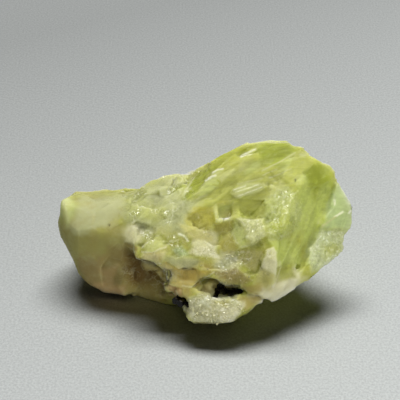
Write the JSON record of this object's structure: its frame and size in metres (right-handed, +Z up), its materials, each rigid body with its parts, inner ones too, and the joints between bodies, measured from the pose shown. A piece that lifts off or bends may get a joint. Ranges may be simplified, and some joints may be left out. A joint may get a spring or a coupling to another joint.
{
  "type": "brazilianite crystal cluster",
  "caption": "Hand-size yellow-green brazilianite cluster, striated and broken crystals grown together, with small black tourmaline crystals in its hollows.",
  "frame": {"origin": "middle of the bounding box, on the flat face that the lump rests on", "axes": "+X along the lump from the smooth crystal towards the tall striated one, +Y towards its back, +Z up"},
  "size_m": [0.0576, 0.033, 0.028],
  "materials": {
    "brazilianite": "glassy cleavage faces and frosted broken faces",
    "black_tourmaline": "glossy"
  },
  "bodies": {
    "root": {"brazilianite_crystals": "brazilianite", "tourmaline_in_hollow": "black_tourmaline", "tourmaline_on_lip": "black_tourmaline"}
  },
  "joints": []
}
